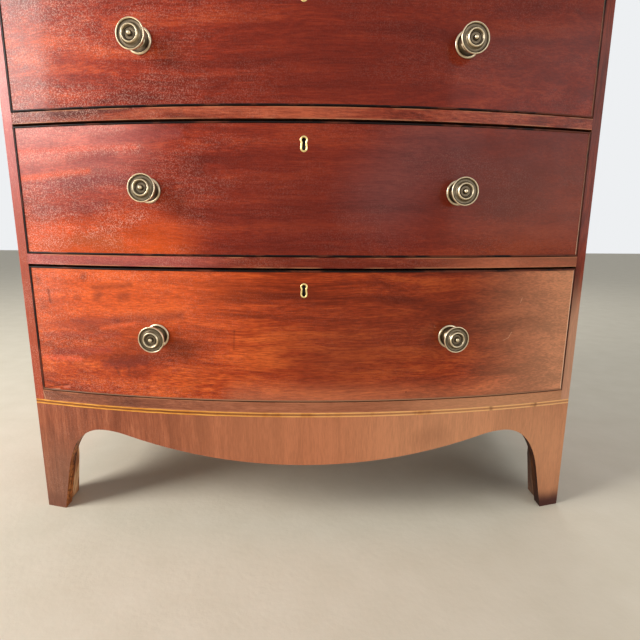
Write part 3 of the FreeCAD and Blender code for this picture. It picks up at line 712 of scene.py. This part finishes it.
def lathe(builder, corners, place, segments):
    """Add to a bmesh a form turned about Z from an outline in millimetres, then placed."""
    layer = builder.verts.layers.float.get("tarnish") or builder.verts.layers.float.new("tarnish")
    rings = []
    for across, up, tarnish in rounded(corners):
        ring = []
        for k in range(segments if across > 0 else 1):
            turn = 2 * math.pi * k / segments
            point = Vector((across * math.cos(turn), across * math.sin(turn), up)) * MM
            vertex = builder.verts.new(place @ point)
            vertex[layer] = tarnish
            ring.append(vertex)
        rings.append(ring)
    for low, high in zip(rings, rings[1:]):
        for k in range(segments):
            n = (k + 1) % segments
            quad = [low[k % len(low)], low[n % len(low)], high[n % len(high)], high[k % len(high)]]
            builder.faces.new(dict.fromkeys(quad))


def turned_piece(name, forms, material, body, segments=96, node=None):
    """One piece of several turned forms, each an outline and its place."""
    builder = bmesh.new()
    for corners, place in forms:
        lathe(builder, corners, place, segments)
    new_piece(name, finished(builder, name), material, body, node=node)


# Outlines as (radius, height, rounding, tarnish), in millimetres from the face
# that they stand on.
PLATE_CORNERS = [
    (0, 0, 0, 0.9),
    (18.5, 0, 0.1, 0.9),
    (18.5, 1.9, 0.9, 0.1),
    (16.4, 2.9, 0.9, 0.0),
    (15.0, 1.4, 0.6, 0.8),
    (9.4, 1.4, 0.4, 0.5),
    (8.6, 2.6, 0.5, 0.1),
    (6.6, 2.6, 0.3, 0.5),
    (6.6, 2.2, 0.1, 1.0),
    (0, 2.2, 0, 1.0),
]
KNOB_CORNERS = [
    (0, 2.2, 0, 1.0),
    (6.6, 2.2, 0.2, 0.9),
    (6.2, 5.5, 1.5, 0.4),
    (5.6, 9.5, 3.0, 0.3),
    (8.0, 15.0, 4.0, 0.3),
    (14.5, 20.4, 2.5, 0.2),
    (19.3, 21.9, 0.7, 0.2),
    (20.3, 23.2, 0.8, 0.0),
    (20.3, 25.2, 0.7, 0.0),
    (19.3, 26.0, 0.5, 0.0),
    (18.5, 25.3, 0.4, 0.25),
    (17.8, 24.0, 0.5, 0.75),
    (15.6, 23.5, 0.9, 0.55),
    (13.9, 23.7, 0.8, 0.5),
    (12.8, 25.2, 1.1, 0.25),
    (12.0, 27.7, 0.9, 0.0),
    (10.9, 28.8, 0.6, 0.0),
    (9.8, 27.9, 0.6, 0.15),
    (9.0, 25.8, 0.9, 0.6),
    (7.6, 25.0, 0.4, 0.85),
    (6.9, 25.3, 0.3, 0.5),
    (5.6, 25.3, 0.4, 0.6),
    (4.3, 25.3, 0.4, 0.5),
    (3.7, 24.7, 0.3, 1.0),
    (2.9, 25.2, 0.3, 0.6),
    (2.9, 28.4, 0.8, 0.0),
    (1.6, 30.0, 0.8, 0.0),
    (0, 30.0, 0, 0.0),
]
WASHER_CORNERS = [(0, 0, 0, 0.6), (8.0, 0, 0.1, 0.6), (8.0, 1.0, 0.3, 0.4), (0, 1.0, 0, 0.5)]
SPINDLE_CORNERS = [(0, 0, 0, 0.5), (2.4, 0, 0.1, 0.5), (2.4, 7.4, 0.6, 0.3), (0, 7.4, 0, 0.3)]
SCREW_CORNERS = [(0, 0, 0, 0.4), (2.4, 0, 0.1, 0.4), (2.1, 0.5, 0.3, 0.1), (0, 0.6, 0, 0.2)]
NAIL_CORNERS = [(0, 0, 0, 0.4), (2.9, 0, 0.1, 0.4), (2.6, 0.5, 0.4, 0.2), (0, 0.8, 0, 0.2)]

# How far each knob leans to the right and upwards, in degrees
KNOB_LEANS = {
    ("third_drawer", -1): (2.5, 5.0),
    ("third_drawer", 1): (-1.0, 1.5),
    ("bottom_drawer", -1): (2.0, -2.5),
    ("bottom_drawer", 1): (3.0, 1.0),
}


def standing(x, y, z, outwards):
    """Place with its Z along outwards, which is level."""
    upright = Vector((0, 0, 1))
    turn = Matrix((upright.cross(outwards), upright, outwards)).transposed()
    return Matrix.Translation(Vector((x, y, z))) @ turn.to_4x4()


def on_front(x, z):
    """Place on the bowed front, facing out of it."""
    return standing(x, bow_y(x), z, Vector((x, bow_y(x) - BOW_CENTRE_Y, 0)).normalized())


def behind_front(x, z):
    """Place on the back of a drawer front, facing into the drawer."""
    y = bow_y(x, -FRONT_THICKNESS)
    return standing(x, y, z, Vector((-x, BOW_CENTRE_Y - y, 0)).normalized())


def leaning(drawer, side):
    """Small lean of a knob on its spindle."""
    right, up = KNOB_LEANS.get((drawer, side), (0.0, 0.0))
    return (Matrix.Rotation(math.radians(right), 4, "Y")
            @ Matrix.Rotation(math.radians(-up), 4, "X"))


def add_nut(builder, place):
    """Add to a bmesh a square nut with eased upper edges."""
    rings = []
    for reach, up in ((NUT_HALF, NUT_LOW), (NUT_HALF, NUT_HIGH - NUT_EASED),
                      (NUT_HALF - NUT_EASED, NUT_HIGH)):
        corners = [(reach, reach), (-reach, reach), (-reach, -reach), (reach, -reach)]
        rings.append([builder.verts.new(place @ Vector((a, b, up))) for a, b in corners])
    builder.faces.new(rings[0])
    builder.faces.new(rings[-1])
    for lower, upper in zip(rings, rings[1:]):
        for k in range(4):
            n = (k + 1) % 4
            builder.faces.new((lower[k], lower[n], upper[n], upper[k]))


def make_knobs(drawer, brass, iron):
    """Two turned knobs on their backplates, and the nuts that hold them."""
    node = drawer + "_knobs"
    low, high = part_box(node)
    z = (low.z + high.z) / 2
    for side, word in ((-1, "left"), (1, "right")):
        place = on_front(side * KNOB_X, z)
        turned_piece(f"{drawer}_knob_{word}", [(KNOB_CORNERS, place @ leaning(drawer, side))],
                     brass, drawer, node=node)
        turned_piece(f"{drawer}_backplate_{word}", [(PLATE_CORNERS, place)],
                     brass, drawer, node=node)
    builder = bmesh.new()
    for side in (-1, 1):
        place = behind_front(side * KNOB_X, z)
        lathe(builder, WASHER_CORNERS, place, 32)
        lathe(builder, SPINDLE_CORNERS, place, 24)
        add_nut(builder, place)
    name = drawer + "_knob_nuts"
    new_piece(name, finished(builder, name), iron, drawer)


def ring_mesh(name, stations):
    """Closed tube from stations, each a closed loop of section points."""
    builder = bmesh.new()
    loops = [[builder.verts.new(point) for point in station] for station in stations]
    count = len(stations[0])
    for here, there in zip(loops, loops[1:] + loops[:1]):
        for j in range(count):
            k = (j + 1) % count
            builder.faces.new((here[j], here[k], there[k], there[j]))
    return finished(builder, name)


def nose_section(width, back, proud, steps=8):
    """Section of a strip with a round nose: pairs of inward and outward place."""
    radius = width / 2
    points = [(0, -back)]
    for i in range(steps + 1):
        turn = math.pi * i / steps
        points.append((radius - radius * math.cos(turn), proud - radius + radius * math.sin(turn)))
    points.append((width, -back))
    return points


def make_cockbead(drawer, material, steps=48):
    """Round-nosed bead all round a drawer front, mitred at its corners."""
    low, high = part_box(drawer + "_cockbead")
    section = nose_section(BEAD_THICKNESS, BEAD_DEPTH, BEAD_PROUD)
    width = high.x - low.x
    stations = []

    def station(x, z, inward_x, inward_z):
        points = []
        for inward, proud in section:
            place_x = x + inward * inward_x
            points.append((place_x, bow_y(place_x, proud), z + inward * inward_z))
        stations.append(points)

    for z, inward_z, start, step in ((low.z, 1, low.x, 1), (high.z, -1, high.x, -1)):
        for k in range(steps + 1):
            x = start + step * width * k / steps
            at_end = {0: 1, steps: -1}.get(k, 0)
            station(x, z, at_end * step, inward_z)
    new_piece(drawer + "_bead", ring_mesh("cockbead", stations), material, drawer,
              TRIM_SHARP_ANGLE, drawer + "_cockbead")


def arc_points(centre_z, radius, start, end, steps):
    """Points of x and z along an arc about the middle of the drawer."""
    turns = [start + (end - start) * k / steps for k in range(steps)]
    return [(radius * math.cos(t), centre_z + radius * math.sin(t)) for t in turns]


def keyhole_loop(margin):
    """Points of x and z round the keyhole, margin outside it, from its head's centre.

    The sides lean a little, from a neck under the head to where they touch the
    foot, and the corners are smoothed at the end.
    """
    head, waist = KEYHOLE_RADIUS + margin, KEYHOLE_WAIST / 2 + margin
    foot, rise = KEYHOLE_FOOT / 2 + margin, KEYHOLE_LENGTH - KEYHOLE_FOOT / 2
    lean = math.asin(foot / math.hypot(rise, waist)) - math.atan2(waist, rise)
    neck = lean - math.acos(waist * math.cos(lean) / head)
    loop = arc_points(0, head, neck, math.pi - neck, HEAD_STEPS)
    heel = arc_points(-rise, foot, math.pi - lean, 2 * math.pi + lean, FOOT_STEPS)
    side_start, side_end = (head * math.cos(neck), head * math.sin(neck)), heel[0]
    side = []
    for k in range(SIDE_STEPS):
        share = k / SIDE_STEPS
        side.append((-side_start[0] * (1 - share) + side_end[0] * share,
                     side_start[1] * (1 - share) + side_end[1] * share))
    loop += side + heel
    loop += [(-x, z) for x, z in [side_end] + side[:0:-1]]
    for _ in range(SMOOTHINGS):
        around = zip(loop[-1:] + loop[:-1], loop, loop[1:] + loop[:1])
        loop = [tuple((a + 2 * b + c) / 4 for a, b, c in zip(*three)) for three in around]
    return loop


def make_thread(drawer, material):
    """Brass thread of a rounded section round the keyhole."""
    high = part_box(drawer + "_escutcheon")[1]
    z = high.z - THREAD_WIDTH - KEYHOLE_RADIUS
    section = nose_section(THREAD_WIDTH, THREAD_DEPTH, THREAD_PROUD, 10)
    # the sides of the nose are lifted to just under the wood's surface
    section = [(inward, max(proud, -THREAD_SUNK) if proud > -THREAD_DEPTH else proud)
               for inward, proud in section]
    loops = [keyhole_loop(inward) for inward, _ in section]
    stations = []
    for column in zip(*loops):
        points = []
        for (x, up), (_, proud) in zip(column, section):
            points.append((x, bow_y(x, proud), z + up))
        stations.append(points)
    new_piece(drawer + "_keyhole_thread", ring_mesh("thread", stations), material, drawer,
              TRIM_SHARP_ANGLE, drawer + "_escutcheon")


def make_lock_screws(drawer, material):
    """Four screws through the back plate of a lock."""
    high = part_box(drawer + "_lock")[1]
    forms = []
    for side in (-1, 1):
        for z in (high.z - SCREW_DROP, high.z - LOCK_HEIGHT + SCREW_RISE):
            place = standing(side * (LOCK_WIDTH / 2 - SCREW_INSET), high.y, z, BACKWARDS)
            forms.append((SCREW_CORNERS, place))
    turned_piece(drawer + "_lock_screws", forms, material, drawer, 20)


def make_back_nails(material):
    """Two nails at each end of every back board."""
    low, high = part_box("back_boards")
    height = (high.z - low.z) / BACK_BOARDS
    forms = []
    for board in range(BACK_BOARDS):
        for share in NAIL_SHARES:
            for x in (low.x + NAIL_INSET, high.x - NAIL_INSET):
                z = low.z + (board + share) * height
                forms.append((NAIL_CORNERS, standing(x, high.y, z, BACKWARDS)))
    turned_piece("back_nails", forms, material, "carcase", 16)


# ---- The scene ----

def paint(name, material):
    """Give a node of the frame its material."""
    for slot in nodes[name].material_slots:
        slot.material = material


def dress_case():
    top = varnished("top_board", "case_mahogany", "X", seed_for(TOP_SEED), CASE_TONES,
                    ("-Y", "+Z", "-X", "+X"), RAW_MAHOGANY_TONES)
    paint("top_board", top.material)
    rails = ["bottom_rail", "lower_rail", "middle_rail", "upper_rail", "top_rail"]
    for index, name in enumerate(rails):
        paint(name, rail_material(index, name))
    for index, (name, side) in enumerate((("side_left", "-X"), ("side_right", "+X"))):
        wood = varnished(name, name + "_wood", "Z", seed_for(SIDE_SEED + index), CASE_TONES,
                         (side, "-Y"), RAW_MAHOGANY_TONES)
        paint(name, wood.material)
    aprons = (("front_apron", "-Y"), ("side_apron_left", "-X"), ("side_apron_right", "+X"))
    for index, (name, side) in enumerate(aprons):
        paint(name, apron_material(index, name, (side,)))
    paint("light_strings", string_material("boxwood_string", srgb(206, 122, 40),
                                           srgb(244, 178, 82), srgb(255, 198, 138),
                                           srgb(150, 98, 68)))
    paint("dark_string", string_material("dark_line", srgb(118, 66, 28), srgb(164, 100, 46),
                                         srgb(208, 144, 100), srgb(124, 80, 56)))
    low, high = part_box("back_boards")
    paint("back_boards", bare_wood("back_boards_wood", "X", seed_for(BACK_SEED), PINE_TONES,
                                   (high.z - low.z) / BACK_BOARDS, low.z))
    bare = [
        ("bottom_board", "X", PINE_TONES),
        ("drawer_runners", "Y", PINE_TONES),
        ("kickers", "Y", PINE_TONES),
        ("drawer_stops", "X", PINE_TONES),
        ("rear_brackets", "X", SHADED_BLOCK_TONES),
        ("glue_blocks", "Z", SHADED_BLOCK_TONES),
    ]
    for index, (name, grain, tones) in enumerate(bare):
        left_tones = LIT_BLOCK_TONES if name == "glue_blocks" else None
        paint(name, bare_wood(name + "_wood", grain, seed_for(BARE_SEED + index), tones,
                              left_tones=left_tones))


def dress_drawer(index, drawer):
    paint(drawer + "_front", front_material(index, drawer))
    insides = (("side_left", "Y"), ("side_right", "Y"), ("back", "X"), ("bottom", "X"))
    for offset, (part, grain) in enumerate(insides):
        seed = seed_for(DRAWER_SEED + len(insides) * index + offset)
        paint(f"{drawer}_{part}", bare_wood(f"{drawer}_{part}_wood", grain, seed, OAK_TONES))
    paint(drawer + "_lock", iron)
    paint(drawer + "_lock_bolt", iron)
    make_knobs(drawer, brass, rusty_iron)
    make_cockbead(drawer, ebony)
    make_thread(drawer, thread_brass)
    make_lock_screws(drawer, rusty_iron)


brass = brass_material("aged_brass", srgb(226, 208, 176), srgb(124, 110, 90), srgb(40, 32, 26))
thread_brass = brass_material("thread_brass", srgb(250, 222, 150), srgb(236, 196, 116),
                              srgb(150, 112, 56))
ebony = ebonised_material()
iron = iron_material("lock_iron", srgb(84, 80, 76), srgb(98, 54, 34), 0.7)
rusty_iron = iron_material("screw_iron", srgb(72, 64, 58), srgb(88, 50, 34), 0.9)
dress_case()
for index, drawer in enumerate(DRAWERS):
    dress_drawer(index, drawer)
make_back_nails(rusty_iron)

# ---- Stage, lights and camera ----

PICTURE = 640                   # the photograph's width, in its pixels
FOCAL_PIXELS = 466.26
SENSOR_WIDTH = 36.0             # millimetres
CAMERA_PLACE = (0.01349, -0.94490, 0.49263)
CAMERA_DOWN = 0.20004           # radians, as the next two
CAMERA_TURN = -0.01564
CAMERA_ROLL = 0.00647
LIT_STRENGTH, SEEN_STRENGTH = 0.35, 1.0     # surroundings, as light and as seen


def make_floor():
    graph = Graph("pale_floor")
    mottling = graph.noise((14, 14, 14), detail=5)
    graph.bump(graph.noise((90, 90, 90), detail=4), 0.4 * MM)
    graph.set(Base_Color=graph.mix(mottling, srgb(219, 210, 188), srgb(235, 227, 208)),
              Roughness=0.7)
    mesh = bpy.data.meshes.new("floor")
    reach = 8.0
    corners = [(-reach, -reach, 0), (reach, -reach, 0), (reach, reach, 0), (-reach, reach, 0)]
    mesh.from_pydata(corners, [], [(0, 1, 2, 3)])
    mesh.materials.append(graph.material)
    floor = bpy.data.objects.new("floor", mesh)
    bpy.context.scene.collection.objects.link(floor)


def make_light(name, place, target, size, power, colour=(1.0, 1.0, 1.0)):
    lamp = bpy.data.lights.new(name, "AREA")
    lamp.shape = "RECTANGLE"
    lamp.size, lamp.size_y = size
    lamp.energy = power
    lamp.color = colour
    holder = bpy.data.objects.new(name, lamp)
    bpy.context.scene.collection.objects.link(holder)
    direction = Vector(target) - Vector(place)
    holder.location = place
    holder.rotation_euler = direction.to_track_quat("-Z", "Y").to_euler()
    holder.visible_camera = False


def make_world():
    """Pale surroundings at full strength for what is seen, and softer as light."""
    world = bpy.data.worlds.new("studio")
    world.use_nodes = True
    tree = world.node_tree
    background = tree.nodes["Background"]
    paths = tree.nodes.new("ShaderNodeLightPath")
    seen = paths.outputs["Is Camera Ray"]
    for kind in ("Is Glossy Ray", "Is Transmission Ray"):
        either = tree.nodes.new("ShaderNodeMath")
        either.operation = "MAXIMUM"
        tree.links.new(seen, either.inputs[0])
        tree.links.new(paths.outputs[kind], either.inputs[1])
        seen = either.outputs[0]
    strength = tree.nodes.new("ShaderNodeMapRange")
    tree.links.new(seen, strength.inputs[0])
    strength.inputs["To Min"].default_value = LIT_STRENGTH
    strength.inputs["To Max"].default_value = SEEN_STRENGTH
    background.inputs["Color"].default_value = srgb(238, 240, 242)
    tree.links.new(strength.outputs[0], background.inputs["Strength"])
    bpy.context.scene.world = world


def make_camera():
    data = bpy.data.cameras.new("camera")
    data.sensor_width = SENSOR_WIDTH
    data.lens = SENSOR_WIDTH * FOCAL_PIXELS / PICTURE
    camera = bpy.data.objects.new("camera", data)
    bpy.context.scene.collection.objects.link(camera)
    level = Vector((-math.sin(CAMERA_TURN), math.cos(CAMERA_TURN), 0))
    right = Vector((math.cos(CAMERA_TURN), math.sin(CAMERA_TURN), 0))
    upright = Vector((0, 0, 1))
    forward = level * math.cos(CAMERA_DOWN) - upright * math.sin(CAMERA_DOWN)
    above = level * math.sin(CAMERA_DOWN) + upright * math.cos(CAMERA_DOWN)
    roll_right = right * math.cos(CAMERA_ROLL) + above * math.sin(CAMERA_ROLL)
    roll_up = above * math.cos(CAMERA_ROLL) - right * math.sin(CAMERA_ROLL)
    turn = Matrix((roll_right, roll_up, -forward)).transposed()
    camera.matrix_world = Matrix.Translation(Vector(CAMERA_PLACE)) @ turn.to_4x4()
    bpy.context.scene.camera = camera


make_floor()
make_world()
make_light("key", (-2.8, -1.2, 1.8), (0, 0, 0.45), (1.4, 1.4), 100, (1.0, 0.97, 0.93))
make_light("glow", (-2.1, -1.15, 0.7), (-0.3, -0.2, 0.5), (0.5, 1.3), 7)
make_light("fill", (2.2, -1.8, 1.0), (0, 0, 0.3), (2.0, 1.2), 14)
make_light("back", (0.5, 2.4, 2.4), (0, 0, 0.6), (2.0, 1.2), 20)
make_camera()
bpy.context.scene.view_settings.view_transform = "Standard"
